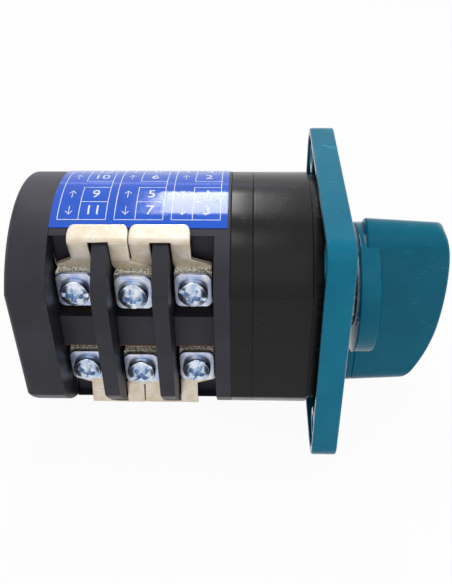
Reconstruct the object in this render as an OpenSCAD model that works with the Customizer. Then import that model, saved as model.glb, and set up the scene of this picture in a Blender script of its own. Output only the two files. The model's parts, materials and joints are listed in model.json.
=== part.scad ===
// Rotary cam switch for a panel: a square front plate with a bar knob, a detent
// head, three contact sections with screw terminals, and a rear cover.
// The shaft lies on the Y axis with the knob towards -Y and the sections towards
// +Y. Z = up, to the side with the terminal label. The origin is on the shaft
// axis, in the plane of the front plate's back rim, which meets the panel.

/* [Front plate] */
// Side of the square front plate
plate_side = 64; // [63:0.5:80]
// Thickness of the front plate, rim included
plate_t = 6.2; // [5:0.1:9]
// Radius of the plate's corners
plate_corner_r = 5.8; // [3:0.1:8]
// Thickness of the web behind the plate's face
plate_web_t = 2.4; // [1.6:0.1:3]
// Distance between neighbouring mounting holes
mount_pitch = 50; // [49:0.5:52]
// Diameter of the mounting holes
mount_hole_d = 4.5; // [3.4:0.1:5.5]
// Diameter of the pillar around each mounting hole
mount_pillar_d = 9; // [7:0.1:10]
// Distance of the pillars' ends below the plate's back rim
pillar_drop = 0.5; // [0:0.1:1]
// Depth of the sunk field in the plate's face
field_depth = 0.5; // [0.2:0.1:1]
// Width of the raised border around the sunk field
field_border = 11; // [9.5:0.5:13]
// Diameter of the boss that carries the knob's washer
boss_d = 18; // [15:0.5:22]
// Thickness of the knob's steel washer
washer_t = 1; // [0.6:0.1:1.4]
// Diameter of the knob's steel washer
washer_d = 20; // [16:0.5:24]

/* [Knob] */
// Diameter of the knob's base disc
disc_d = 34; // [28:0.5:40]
// Thickness of the knob's base disc
disc_t = 5; // [3:0.1:7]
// Gap between the plate's face and the knob's disc
knob_gap = 4.6; // [3.6:0.1:6]
// Thickness of the bar where it meets the disc
bar_w = 12; // [10:0.2:15]
// Thickness of the bar at its crown
bar_crown_w = 10.8; // [8:0.2:14]
// Distance from the axis to the bar's short end
bar_short = 20; // [17:0.5:26]
// Distance from the axis to the bar's pointer end
bar_long = 30.7; // [24:0.1:34]
// Distance by which both ends of the bar draw in towards the crown
bar_draft = 1.3; // [0.5:0.1:2]
// Distance from the back of the disc to the back of the bar's short end
bar_lift = 1.7; // [0.5:0.1:3]
// Distance from the back of the disc to the back of the bar's pointer end
pointer_lift = 0.2; // [0:0.1:1.5]
// Height of the bar's crown above the back of the disc
crown_h = 23.2; // [20:0.2:27]
// Radius of the crown's middle curve
crown_r = 95; // [80:1:120]
// Half the length of the crown's middle curve
crown_flat = 9; // [7:0.5:11]
// Radius of the crown's two outer curves
crown_end_r = 47; // [42:1:55]
// Offset of the crown's highest point towards the short end
crown_shift = 0.5; // [0:0.5:2]
// Radius of the crown's corner at the short end
crown_corner_r = 3.8; // [3:0.1:4.5]
// Diameter of the hole for the knob's screw and its plug
knob_screw_hole_d = 7.4; // [7.2:0.1:8]

/* [Shaft] */
// Width across the flats of the square shaft
shaft_sq = 7; // [6:0.1:7.4]
// Diameter over the shaft's rounded corners
shaft_corner_d = 9; // [8.4:0.1:9.4]
// Depth of the shaft inside the knob
shaft_in_knob = 14; // [10:0.5:16]
// Diameter of the shaft's rear journal
rear_journal_d = 6.5; // [5.8:0.1:6.8]
// Radial running clearance of turning parts
run_gap = 0.08; // [0.05:0.01:0.1]
// Clearance of the square hole on the shaft, on each side
square_gap = 0.05; // [0.03:0.01:0.1]

/* [Body] */
// Diameter of the round body
body_d = 59.2; // [58.6:0.1:60]
// Width across the body's two flats
flats_w = 50.6; // [49:0.2:53]
// Length of the detent housing behind the panel plane
housing_len = 15; // [14:0.1:18]
// Thickness of the detent cover
cover_t = 5.1; // [4:0.1:7]
// Length of one contact section
section_pitch = 13.8; // [13.6:0.1:16]
// Thickness of the rib in front of each section's windows
rib_t = 3.7; // [3:0.1:4]
// Length of the rear cover
rear_len = 9.6; // [9:0.1:12]
// Radius of the rear cover's outer edge
rear_edge_r = 1.4; // [0.6:0.1:2]
// Thickness of the round shell over the terminal windows, at its crown
shell_t = 4.35; // [3.6:0.05:5.1]
// Half the width of the core between the terminal windows
core_hw = 12.8; // [12.6:0.1:13.4]
// Half the width of the block between the two terminal rows
block_hw = 18.5; // [18:0.1:20]
// Half the height of that block
block_hh = 4.5; // [4:0.1:4.8]
// Thickness of the terminal label
label_t = 0.2; // [0.1:0.05:0.4]
// Width of the bare band between the windows and the label
label_margin = 1.25; // [0.6:0.05:2]

/* [Terminals] */
// Height of each terminal row above or below the axis
row_z = 11.9; // [11.6:0.1:12.6]
// Width of the terminal strips, clamp plates and jumper feet
term_w = 8.7; // [7.6:0.1:9]
// Thickness of the fixed contact strips
strip_t = 1.2; // [0.8:0.1:1.4]
// Thickness of the serrated clamp plates
clamp_t = 2; // [1.2:0.1:2.2]
// Height of the clamp plates
clamp_h = 9.2; // [8:0.1:9.6]
// Thickness of the square washers
sq_washer_t = 1.1; // [0.8:0.1:1.4]
// Height of the square washers
sq_washer_h = 9.2; // [8:0.1:9.6]
// Diameter of the terminal screws
screw_d = 3.5; // [3:0.1:3.8]
// Diameter of the terminal screws' heads
screw_head_d = 7; // [6:0.1:8]
// Height of the terminal screws' heads
screw_head_h = 2.6; // [2:0.1:2.8]
// Thickness of the jumpers' sheet
jumper_t = 0.9; // [0.6:0.1:1]
// Width of a jumper's leg on the knob's side
jumper_front_leg = 4.4; // [3.6:0.1:4.5]
// Width of a jumper's leg on the rear side
jumper_rear_leg = 4.7; // [3.6:0.1:4.8]
// Width of the slot between a jumper's legs
jumper_slot = 4.7; // [4.4:0.1:5]
// Length of the jumper's flange on the barrel
jumper_flange = 4; // [3:0.1:5]
// Gap between the barrel and the bend of a jumper's flange
jumper_gap = 0.5; // [0.4:0.05:0.8]
// Width of the slot and the cross in the terminal screws' heads
recess_w = 0.9; // [0.7:0.05:1.1]
// Depth of the cross in the terminal screws' heads
recess_depth = 1.5; // [1:0.1:1.8]

/* [Contacts] */
// Radius of the cams with the switch off
cam_r = 7.6; // [7.5:0.1:8]
// Rise of the cams per radian of turn
cam_rise = 1.9; // [1.5:0.05:2]
// Half the angle over which each cam flank rises evenly
cam_flank = 54; // [50:1:60]
// Gap between a cam and its plunger's nose
cam_gap = 0.2; // [0.15:0.01:0.3]
// Radius of the plunger's nose
nose_r = 1.8; // [1.7:0.1:2]
// Diameter of the plunger's stem
stem_d = 3.2; // [2.6:0.1:3.4]
// Thickness of the contact bridges
bridge_t = 0.8; // [0.6:0.1:1]
// Thickness of the contact tips
tip_t = 0.7; // [0.5:0.05:0.8]
// Diameter of the contact tips
tip_d = 3.6; // [3:0.1:3.8]
// Distance of the contact tips from the axis, up and down
tip_z = 7; // [6.9:0.1:7.2]
// Open gap between the contact tips with the switch off
contact_gap = 1.6; // [1.6:0.05:1.8]

/* [Detent] */
// Outer radius of the star wheel
star_r = 10; // [9.5:0.1:10.4]
// Depth of the star wheel's notches
notch_depth = 0.8; // [0.5:0.1:1]
// Number of the star wheel's notches
notches = 8; // [4:4:8]
// Radius of the detent plungers' noses
detent_nose_r = 2; // [1.6:0.1:2.2]
// Height of the detent plungers
detent_h = 7.2; // [6.4:0.1:8]
// Half the turning range of the knob
turn_limit = 45; // [30:5:50]
// Thickness of the housing's wall behind each detent spring
detent_wall = 2; // [1.4:0.1:2.6]
// Length of the room for each detent spring
detent_spring_len = 6.1; // [5:0.1:7]
// Half the angle of the stop lug
lug_half = 8; // [6:0.5:12]
// Outer radius of the stop lug
lug_r = 13; // [12:0.1:14]

/* [Fasteners] */
// Distance of the through bolts from the axis
bolt_z = 22; // [21.5:0.1:22.5]
// Diameter of the through bolts
bolt_d = 4; // [3.5:0.1:4.2]
// Diameter of the plate screws
plate_screw_d = 3; // [2.5:0.1:3.5]
// Distance of the plate screws from both centre planes
plate_screw_at = 16.5; // [15.5:0.1:17.5]
// Diameter of the plate screws' countersunk heads
plate_screw_head_d = 5.7; // [5:0.1:6.2]
// Diameter of the knob's screw
knob_screw_d = 4; // [3:0.1:4.5]

/* [Hidden] */
$fn = 96;

sections = 3;
left = -1;
right = 1;
eps = 0.01;
cut = 1;
seat_gap = 0.1;
slide_gap = 0.1;

// Front plate and the stack under the knob, all Y values growing towards the rear
plate_face_y = -plate_t;
web_back_y = plate_face_y + plate_web_t;
hollow_side = body_d + 1.2;
knob_back_y = plate_face_y - knob_gap;
washer_front_y = knob_back_y + seat_gap;
boss_front_y = washer_front_y + washer_t;
shaft_hole_d = shaft_corner_d + 1.2;

// Knob
bar_back_y = knob_back_y - bar_lift;
crown_y = knob_back_y - crown_h;
shaft_front_y = knob_back_y - shaft_in_knob;
knob_floor_t = 2.2;
screw_seat_y = shaft_front_y - knob_floor_t;
knob_screw_head_h = 2.6;
knob_screw_head_d = knob_screw_hole_d - 0.4;
knob_screw_reach = 8;
crown_turn = asin(crown_flat / crown_r);
crown_end_y = crown_y + crown_r - (crown_r - crown_end_r) * cos(crown_turn);
crown_end_z = (crown_r - crown_end_r) * sin(crown_turn);
disc_back_edge = 0.5;
disc_front_edge = 0.8;

// Shaft and its ring behind the last section
journal_len = 6.8;
ring_t = 0.8;
ring_band = 2;
groove_depth = 0.5;

// Body
cover_y = housing_len;
sections_y = housing_len + cover_t;
rear_y = sections_y + sections * section_pitch;
end_y = rear_y + rear_len;
window_w = section_pitch - rib_t;
window_h = body_d - 2 * shell_t;
label_edge_z = window_h / 2 + label_margin;
housing_step = 0.7;
housing_step_len = 1.5;
front_wall_y = 1.2;
hub_d = 11.4;

// Detent
star_y = 3;
star_t = 6.5;
lug_y = star_y + star_t;
lug_t = 3;
notch_r = detent_nose_r + 0.2;
detent_x = star_r + seat_gap;
channel_x = flats_w / 2 - detent_wall;
detent_back_x = channel_x - detent_spring_len;
stop_gap = 0.6;

// Contact mechanism, as distances u from the shaft axis
bridge_u = cam_r + cam_gap + 1.1;
tip_u = bridge_u + bridge_t + tip_t;
rivet_u = tip_u + contact_gap;
rivet_t = core_hw - rivet_u;
pocket_u = bridge_u + bridge_t + 1.9;
pocket_hh = tip_z + tip_d / 2 + 0.3;
spring_seat_u = 14.8;
stem_end_u = 16.5;
guide_end_u = 18.1;
chamber_r = cam_r + cam_rise * cam_flank * PI / 180 + 0.6;
cam_front = 0.3;
bridge_w = 5.6;
channel_hh = 3.1;
strip_z0 = 5.1;
strip_z1 = 17;
strip_u = core_hw + strip_t;

// Terminal stack above a strip: the number of jumper feet under each terminal
// of section k, on one side
function feet(side, k) = side == right ? 0 : (k == 1 ? 2 : 1);
function clamp_u(side, k) = strip_u + feet(side, k) * foot_pitch;
function washer_u(side, k) = clamp_u(side, k) + clamp_t;
function head_u(side, k) = washer_u(side, k) + sq_washer_t;
function section_y(k) = sections_y + k * section_pitch;
function term_y(k) = section_y(k) + rib_t + window_w / 2;

screw_tip_u = core_hw - 2.4;

// Jumpers: two feet may lie under one clamp plate, a leg leans out from each foot
// to the bend, and the flange lies along the barrel
foot_pitch = jumper_t + 0.06;
foot_z0 = 7.2;
foot_bend_z = row_z + clamp_h / 2 + 0.15;
flare_z = foot_bend_z + 0.7;
flare_rise = 1.9;
knee_z = foot_bend_z + 3.2;
bend_r = body_d / 2 + jumper_gap + jumper_t / 2;
bend_z = window_h / 2 - 0.05;
bend_u = sqrt(bend_r * bend_r - bend_z * bend_z);
flange_angle = 90 - atan2(bend_z, bend_u) - 6;
flange_corner_r = 1.2;
bolt_head_d = 7;
bolt_head_h = 2.8;
bolt_seat_y = -0.6;
nut_af = 7;
nut_h = 3.2;
nut_seat_y = end_y - 5.1;

// Outline in X and Z, extruded from y0 to y1
module along_y(y0, y1)
    translate([0, y1, 0]) rotate([90, 0, 0]) linear_extrude(y1 - y0) children();

// Outline in Y and Z, extruded from x0 to x1
module along_x(x0, x1)
    translate([x0, 0, 0]) rotate([90, 0, 90]) linear_extrude(x1 - x0) children();

// Outline in X and Y, extruded from z0 to z1
module along_z(z0, z1)
    translate([0, 0, z0]) linear_extrude(z1 - z0) children();

// Profile of radius and Y, turned about the Y axis
module turned_y() rotate([-90, 0, 0]) rotate_extrude() children();

// Profile of radius and X, turned about an axis along X
module turned_x(y, z) translate([0, y, z]) rotate([0, 90, 0]) rotate_extrude() children();

module rod_y(d, y0, y1, x = 0, z = 0)
    translate([x, y0, z]) rotate([-90, 0, 0]) cylinder(d = d, h = y1 - y0);

module rod_x(d, x0, x1, y = 0, z = 0)
    translate([x0, y, z]) rotate([0, 90, 0]) cylinder(d = d, h = x1 - x0);

// Shapes drawn for the right side, mirrored where they stand on the left
module on_side(side) {
    if (side == left) mirror([1, 0, 0]) children();
    else children();
}

// Shapes drawn for the upper row, mirrored where they stand in the lower row
module on_row(row) {
    if (row < 0) mirror([0, 0, 1]) children();
    else children();
}

module rounded_rect(w, h, r) {
    square([w, h - 2 * r], center = true);
    square([w - 2 * r, h], center = true);
    for (x = [-1, 1], y = [-1, 1])
        translate([x * (w / 2 - r), y * (h / 2 - r)]) circle(r);
}

// Section of the round body with its two flats
module body_outline(inset = 0) intersection() {
    circle(d = body_d - 2 * inset);
    square([flats_w - 2 * inset, body_d], center = true);
}

// Square shaft section with rounded corners
module shaft_outline(gap = 0) intersection() {
    circle(d = shaft_corner_d + 2 * gap);
    square(shaft_sq + 2 * gap, center = true);
}

module mount_points() for (x = [-1, 1], z = [-1, 1])
    translate([x * mount_pitch / 2, 0, z * mount_pitch / 2]) children();

module plate_screw_points() for (x = [-1, 1], z = [-1, 1])
    translate([x * plate_screw_at, 0, z * plate_screw_at]) children();

module front_plate() color([0, 0.5, 0.56]) difference() {
    union() {
        difference() {
            along_y(plate_face_y, 0) rounded_rect(plate_side, plate_side, plate_corner_r);
            along_y(plate_face_y - cut, plate_face_y + field_depth)
                rounded_rect(plate_side - 2 * field_border, plate_side - 2 * field_border, 3);
            along_y(web_back_y, cut) rounded_rect(hollow_side, hollow_side, 4.5);
        }
        mount_points() rod_y(mount_pillar_d, web_back_y - eps, -pillar_drop);
        rod_y(boss_d, boss_front_y, web_back_y - eps);
    }
    mount_points() rod_y(mount_hole_d, plate_face_y - cut, cut);
    plate_screw_points() plate_screw(plate_screw_d + 0.2, seat_gap / 2);
    rod_y(shaft_hole_d, boss_front_y - cut, web_back_y + cut);
}

// Countersunk screw from the sunk field into the housing; grow widens its head
// for the seat in the plate
module plate_screw(d, grow = 0) {
    face = plate_face_y + field_depth - grow;
    head_r = plate_screw_head_d / 2 + grow;
    turned_y() polygon([[0, face], [head_r, face], [head_r, face + 0.3],
        [d / 2, face + 0.3 + head_r - d / 2], [d / 2, plate_screw_end_y], [0, plate_screw_end_y]]);
}
plate_screw_end_y = 4;

module plate_screws() color("silver") plate_screw_points() difference() {
    plate_screw(plate_screw_d);
    for (a = [0, 90]) rotate([0, a, 0])
        translate([0, plate_face_y + field_depth, 0]) cube([3.6, 1.8, 0.7], center = true);
}

module thrust_washer() color("silver") difference() {
    rod_y(washer_d, washer_front_y, boss_front_y);
    rod_y(shaft_hole_d, washer_front_y - cut, boss_front_y + cut);
}

// Plan of the bar in X and Z: two round ends of the bar's own thickness
module bar_plan(w, draw) {
    z_top = bar_short - draw - w / 2;
    z_bottom = -bar_long + draw + w / 2;
    translate([0, z_top]) circle(d = w, $fn = 64);
    translate([0, z_bottom]) circle(d = w, $fn = 64);
    translate([-w / 2, z_bottom]) square([w, z_top - z_bottom]);
}

// Part of a disc in Y and Z between two heights, back to the disc's back
module arc_slice(y, z, r, z0, z1) intersection() {
    translate([y, z]) circle(r, $fn = 360);
    translate([crown_y, z0]) square([crown_h, z1 - z0]);
}

// Side view of the bar in Y and Z: three crown curves and a corner that run into one another
module bar_side() {
    arc_top = crown_shift + crown_end_z;
    flat_low = crown_shift - crown_flat;
    flat_high = crown_shift + crown_flat;
    corner_z = bar_short - bar_draft / 2 - crown_corner_r;
    reach = crown_end_r - crown_corner_r;
    corner_y = crown_end_y - sqrt(reach * reach - (corner_z - arc_top) * (corner_z - arc_top));
    touch_z = arc_top + (corner_z - arc_top) * crown_end_r / reach;
    arc_slice(crown_y + crown_r, crown_shift, crown_r, flat_low, flat_high);
    arc_slice(crown_end_y, arc_top, crown_end_r, flat_high, touch_z);
    arc_slice(crown_end_y, crown_shift - crown_end_z, crown_end_r, -bar_long - cut, flat_low);
    translate([corner_y, touch_z]) square([knob_back_y - corner_y, bar_short - touch_z + cut]);
    translate([corner_y, corner_z]) circle(crown_corner_r);
}

module knob_bar() intersection() {
    union() {
        hull() {
            along_y(bar_back_y - eps, bar_back_y) bar_plan(bar_w, 0);
            along_y(crown_y - eps, crown_y) bar_plan(bar_crown_w, bar_draft);
        }
        along_y(bar_back_y - eps, knob_back_y - pointer_lift) intersection() {
            bar_plan(bar_w, 0);
            translate([-bar_w, -bar_long - cut]) square([2 * bar_w, bar_long + cut]);
        }
    }
    along_x(-bar_w, bar_w) bar_side();
}

module knob() color([0, 0.42, 0.47]) difference() {
    union() {
        knob_bar();
        turned_y() polygon([[0, knob_back_y], [disc_d / 2 - disc_back_edge, knob_back_y],
            [disc_d / 2, knob_back_y - disc_back_edge],
            [disc_d / 2, knob_back_y - disc_t + disc_front_edge],
            [disc_d / 2 - disc_front_edge, knob_back_y - disc_t], [0, knob_back_y - disc_t]]);
    }
    along_y(shaft_front_y - seat_gap, knob_back_y + cut) shaft_outline(square_gap);
    rod_y(knob_screw_d + 0.2, screw_seat_y - cut, shaft_front_y + cut);
    rod_y(knob_screw_hole_d, crown_y - cut, screw_seat_y);
}

module knob_screw() color("silver") difference() {
    union() {
        rod_y(knob_screw_d, screw_seat_y - eps, shaft_front_y + knob_screw_reach);
        rod_y(knob_screw_head_d, screw_seat_y - knob_screw_head_h, screw_seat_y);
    }
    translate([0, screw_seat_y - knob_screw_head_h, 0]) cube([4.8, 2.4, 1], center = true);
}

module knob_plug() color([0, 0.42, 0.47]) intersection() {
    rod_y(knob_screw_hole_d - 2 * seat_gap, crown_y - cut, screw_seat_y - knob_screw_head_h - 0.3);
    along_x(-bar_w, bar_w) bar_side();
}

module shaft() color("silver") difference() {
    union() {
        along_y(shaft_front_y, rear_y - 0.2) shaft_outline();
        rod_y(rear_journal_d, rear_y - 0.2 - eps, rear_y + journal_len);
    }
    rod_y(knob_screw_d + 2 * square_gap, shaft_front_y - cut, shaft_front_y + knob_screw_reach + 1);
    ring_groove(rear_journal_d + cut);
}

ring_y = rear_y + 0.5;
groove_d = rear_journal_d - 2 * groove_depth;

module ring_groove(d) difference() {
    rod_y(d, ring_y, ring_y + ring_t);
    rod_y(groove_d, ring_y - cut, ring_y + ring_t + cut);
}

module retaining_ring() color("dimgray") difference() {
    rod_y(rear_journal_d + 2 * ring_band, ring_y + 0.05, ring_y + ring_t - 0.05);
    rod_y(groove_d + 0.1, ring_y - cut, ring_y + ring_t + cut);
    translate([-groove_d / 2 + 0.6, ring_y - cut, 0]) cube([groove_d - 1.2, ring_t + 2 * cut, rear_journal_d]);
}

// Sector in X and Z about the upward direction, half_angle to each side
module up_sector(r, half_angle) polygon([[0, 0], for (i = [-4:4])
    let (a = 90 + half_angle * i / 4) r / cos(half_angle / 8) * [cos(a), sin(a)]]);

module bolt_holes(y0, y1, d) for (s = [-1, 1]) rod_y(d, y0, y1, 0, s * bolt_z);

module detent_housing() color([0.13, 0.12, 0.13]) difference() {
    union() {
        along_y(web_back_y, housing_step_len) body_outline(housing_step);
        along_y(housing_step_len - eps, cover_y) body_outline();
    }
    rod_y(hub_d + 0.6 + 2 * run_gap, web_back_y - cut, front_wall_y + cut);
    rod_y(2 * star_r + 1.2, front_wall_y, cover_y + cut);
    along_y(star_y - 0.2, cover_y + cut)
        square([2 * channel_x, detent_h + 2 * slide_gap], center = true);
    along_y(lug_y - 0.2, cover_y + cut) intersection() {
        circle(lug_r + 0.4);
        up_sector(lug_r + 2, turn_limit + lug_half + stop_gap);
    }
    bolt_holes(web_back_y - cut, cover_y + cut, bolt_d + 0.3);
    bolt_holes(web_back_y - cut, bolt_seat_y, bolt_head_d + 0.6);
    plate_screw_points() rod_y(plate_screw_d + 0.1, web_back_y - cut, plate_screw_end_y + 0.5);
}

// Cover between the detent and the first section; its two tongues hold the
// detent plungers in their channels
module detent_cover() color([0.13, 0.12, 0.13]) difference() {
    union() {
        along_y(cover_y, sections_y) body_outline();
        for (side = [left, right]) on_side(side)
            translate([star_r + 2, lug_y + 0.2, -detent_h / 2])
                cube([channel_x - 0.2 - star_r - 2, cover_y - lug_y - 0.2 + eps, detent_h]);
    }
    rod_y(hub_d + 2 * run_gap, cover_y - cut, sections_y + cut);
    bolt_holes(cover_y - cut, sections_y + cut, bolt_d + 0.3);
}

module star_wheel() color("gainsboro") difference() {
    union() {
        rod_y(hub_d + 0.6, web_back_y + 0.3, star_y + eps);
        rod_y(2 * star_r, star_y, lug_y);
        rod_y(hub_d, lug_y - eps, sections_y - cam_front);
        along_y(lug_y - eps, lug_y + lug_t) intersection() {
            circle(lug_r);
            up_sector(lug_r + 2, lug_half);
        }
    }
    for (i = [0:notches - 1]) rotate([0, i * 360 / notches, 0])
        rod_y(2 * notch_r, star_y - cut, lug_y, star_r - notch_depth + notch_r, 0);
    along_y(web_back_y, sections_y) shaft_outline(square_gap);
}

module detent_plunger(side) color("ivory") on_side(side) {
    nose_x = detent_x + detent_nose_r;
    rod_y(2 * detent_nose_r, star_y, lug_y, nose_x, 0);
    translate([nose_x, star_y, -detent_nose_r]) cube([1, star_t, 2 * detent_nose_r]);
    translate([nose_x + 0.6, star_y, -detent_h / 2]) cube([detent_back_x - nose_x - 0.6, star_t, detent_h]);
}

// Helical spring along X from x0 to x1, as rings of points along the coil
module coil_spring(x0, x1, y, coil_d, wire_d, turns, sides = 6, per_turn = 12) {
    steps = turns * per_turn;
    points = [for (i = [0:steps], j = [0:sides - 1])
        let (t = i / steps, a = 360 * turns * t, b = 360 * j / sides,
            r = coil_d / 2 + wire_d / 2 * cos(b))
        [x0 + wire_d / 2 + (x1 - x0 - wire_d) * t + wire_d / 2 * sin(b), y + r * cos(a), r * sin(a)]];
    skin = [for (i = [0:steps - 1], j = [0:sides - 1])
        let (a = i * sides + j, b = i * sides + (j + 1) % sides)
        each [[a, b, a + sides], [b, b + sides, a + sides]]];
    ends = [[for (j = [sides - 1:-1:0]) j], [for (j = [0:sides - 1]) steps * sides + j]];
    polyhedron(points, concat(skin, ends), convexity = 8);
}

module detent_spring(side) color("silver") on_side(side)
    coil_spring(detent_back_x + 0.05, channel_x - 0.05, star_y + star_t / 2, 5, 0.9, 4);

// Section of a contact section behind its rib: core, middle block, and the
// two round shells above and below the windows
module core_outline() intersection() {
    body_outline();
    union() {
        square([2 * core_hw, body_d], center = true);
        square([2 * block_hw, 2 * block_hh], center = true);
        for (s = [-1, 1]) translate([0, s * (window_h / 2 + body_d / 2)]) square(body_d, center = true);
    }
}

module section_housing(k) {
    y0 = section_y(k);
    y1 = y0 + section_pitch;
    back = y0 + rib_t;
    color([0.16, 0.15, 0.17]) difference() {
        union() {
            along_y(y0, back) body_outline();
            along_y(back - eps, y1) core_outline();
        }
        rod_y(hub_d + 2 * run_gap, y0 - cut, y1 + cut);
        rod_y(2 * chamber_r, back, y1 + cut);
        along_y(back, y1 + cut) square([2 * pocket_u, 2 * pocket_hh], center = true);
        along_y(term_y(k) - channel_hh, y1 + cut)
            square([2 * spring_seat_u, 2 * channel_hh], center = true);
        for (side = [left, right]) on_side(side) {
            rod_x(stem_d + 0.2, spring_seat_u - cut, guide_end_u, term_y(k), 0);
            for (row = [-1, 1]) {
                rod_x(screw_d + 0.1, screw_tip_u - 0.4, core_hw + cut, term_y(k), row * row_z);
                translate([pocket_u - cut, term_y(k) - tip_d / 2 - 0.2, row * tip_z - tip_d / 2 - 0.2])
                    cube([core_hw - pocket_u + 2 * cut, tip_d + 0.4, tip_d + 0.4]);
            }
        }
        bolt_holes(y0 - cut, y1 + cut, bolt_d + 0.3);
    }
}

// Cam radius at an angle from +X towards +Z: both flanks rise evenly, so that
// each side of the switch closes at its own end of the turn
function flank(a) = cam_rise * PI / 180 * max(-cam_flank, min(cam_flank, a));
function cam_radius(a) = cam_r + (a < 90 ? flank(a) : (a < 270 ? flank(180 - a) : flank(a - 360)));

module cam(k) {
    y0 = section_y(k);
    color(k == 1 ? "khaki" : "ivory") difference() {
        union() {
            rod_y(hub_d, y0 - cam_front, y0 + rib_t + cam_front + eps);
            along_y(y0 + rib_t + cam_front, y0 + section_pitch - cam_front)
                polygon([for (a = [0:3:357]) cam_radius(a) * [cos(a), sin(a)]]);
        }
        along_y(y0 - cut, y0 + section_pitch + cut) shaft_outline(square_gap);
    }
}

// Plunger between the cam and its contact bridge: a round nose, a shoulder
// under the bridge and a stem that slides in the middle block
module contact_plunger(side, k) color("ivory") on_side(side) {
    nose_u = cam_r + cam_gap + nose_r;
    intersection() {
        rod_y(2 * nose_r, term_y(k) - bridge_w / 2, term_y(k) + bridge_w / 2, nose_u, 0);
        translate([0, section_y(k), -nose_r]) cube([bridge_u, section_pitch, 2 * nose_r]);
    }
    rod_x(stem_d, bridge_u - 0.5, stem_end_u, term_y(k), 0);
}

module contact_bridge(side, k) color("gold") on_side(side) difference() {
    union() {
        along_x(bridge_u, bridge_u + bridge_t) translate([term_y(k), 0])
            rounded_rect(bridge_w, 2 * tip_z + tip_d, 1.2);
        for (s = [-1, 1]) rod_x(tip_d, bridge_u + bridge_t - eps, tip_u, term_y(k), s * tip_z);
    }
    rod_x(stem_d + 0.1, bridge_u - cut, bridge_u + bridge_t + cut, term_y(k), 0);
}

module return_spring(side, k) color("silver") on_side(side)
    coil_spring(bridge_u + bridge_t + 0.05, spring_seat_u - 0.05, term_y(k), 4.4, 0.6, 4);

module fixed_contacts(k) color([0.85, 0.72, 0.45])
    for (side = [left, right], row = [-1, 1]) on_side(side) on_row(row) difference() {
        union() {
            along_x(core_hw, strip_u)
                translate([term_y(k), (strip_z0 + strip_z1) / 2])
                    rounded_rect(term_w, strip_z1 - strip_z0, 0.6);
            rod_x(tip_d, core_hw - rivet_t, core_hw + eps, term_y(k), tip_z);
        }
        rod_x(screw_d + 0.1, core_hw - cut, strip_u + cut, term_y(k), row_z);
    }

// Draws its child for each terminal as for the right side and the upper row, and
// mirrors it into place; $side and $k tell the child where it stands
module terminals() for (side = [left, right], k = [0:sections - 1], row = [-1, 1])
    on_side(side) on_row(row) let ($side = side, $k = k) children();

module terminal_screws() color([0.75, 0.8, 0.88]) terminals() {
    u = head_u($side, $k);
    dome = screw_head_d * 0.85;
    difference() {
        turned_x(term_y($k), row_z) union() {
            translate([0, screw_tip_u]) square([screw_d / 2, u - screw_tip_u + eps]);
            intersection() {
                translate([0, u]) square([screw_head_d / 2, screw_head_h]);
                translate([0, u + screw_head_h - dome]) circle(dome);
            }
        }
        translate([u + screw_head_h, term_y($k), row_z]) {
            cube([recess_depth, 2 * screw_head_d, recess_w], center = true);
            for (a = [0, 90]) rotate([a, 0, 0])
                cube([2 * recess_depth, screw_head_d * 0.56, recess_w], center = true);
        }
    }
}

module square_washers() color([0.8, 0.84, 0.9]) terminals() difference() {
    along_x(washer_u($side, $k), head_u($side, $k)) translate([term_y($k), row_z])
        rounded_rect(term_w, sq_washer_h, 1.2);
    rod_x(screw_d + 0.2, core_hw, body_d / 2, term_y($k), row_z);
}

// Clamp plate whose upper and lower edges carry a row of small teeth
module clamp_plates() color([0.72, 0.72, 0.7]) terminals() difference() {
    along_x(clamp_u($side, $k), washer_u($side, $k)) translate([term_y($k), row_z])
        difference() {
            square([term_w, clamp_h], center = true);
            for (i = [-3:3], s = [-1, 1]) translate([i * term_w / 7.5, s * clamp_h / 2])
                rotate(45) square(0.5, center = true);
        }
    rod_x(screw_d + 0.2, core_hw, body_d / 2, term_y($k), row_z);
}

// Strip of sheet along a bent centre line, with mitred bends
function normal(a, b) = let (d = b - a) [-d.y, d.x] / norm(d);
function mitre(p, i) = let (n = len(p),
    n1 = normal(p[max(i - 1, 0)], p[max(i, 1)]),
    n2 = normal(p[min(i, n - 2)], p[min(i + 1, n - 1)]),
    m = (n1 + n2) / norm(n1 + n2)) m / (m * n1);
module bent_strip(p, t) {
    n = len(p);
    polygon(concat([for (i = [0:n - 1]) p[i] + mitre(p, i) * t / 2],
        [for (i = [n - 1:-1:0]) p[i] - mitre(p, i) * t / 2]));
}

// Jumper over the rib between sections k and k + 1, drawn for the right side and
// the upper row; levels says how many feet lie under its front and rear foot
module jumper(row, k, levels, shift) {
    rib_mid = section_y(k + 1) + rib_t / 2 + shift;
    legs = [jumper_front_leg, jumper_rear_leg];
    ends = [for (i = [0, 1]) rib_mid + (2 * i - 1) * (jumper_slot / 2 + legs[i])];
    color([0.74, 0.7, 0.62]) on_side(left) on_row(row) difference() {
        for (i = [0, 1]) intersection() {
            along_y(term_y(k) - term_w, term_y(k + 1) + term_w)
                bent_strip(jumper_path(levels[i]), jumper_t);
            along_x(core_hw, body_d / 2)
                jumper_half(term_y(k + i), rib_mid, ends[i], 2 * i - 1);
        }
        for (tk = [k, k + 1]) rod_x(screw_d + 0.3, core_hw, body_d / 2, term_y(tk), row_z);
        for (i = [0, 1]) flange_corner(ends[i], 2 * i - 1);
    }
}

// Centre line of a jumper's sheet in X and Z, from the foot to the flange's edge
function jumper_path(level) = let (
    first_u = strip_u + jumper_t / 2,
    u = first_u + level * foot_pitch,
    lean = (bend_u - first_u) / (bend_z - foot_bend_z))
    [[u, foot_z0], [u, foot_bend_z], [u + lean * (knee_z - foot_bend_z), knee_z], [bend_u, bend_z],
        [bend_u, bend_z] + jumper_flange * [-cos(flange_angle), sin(flange_angle)]];

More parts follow.
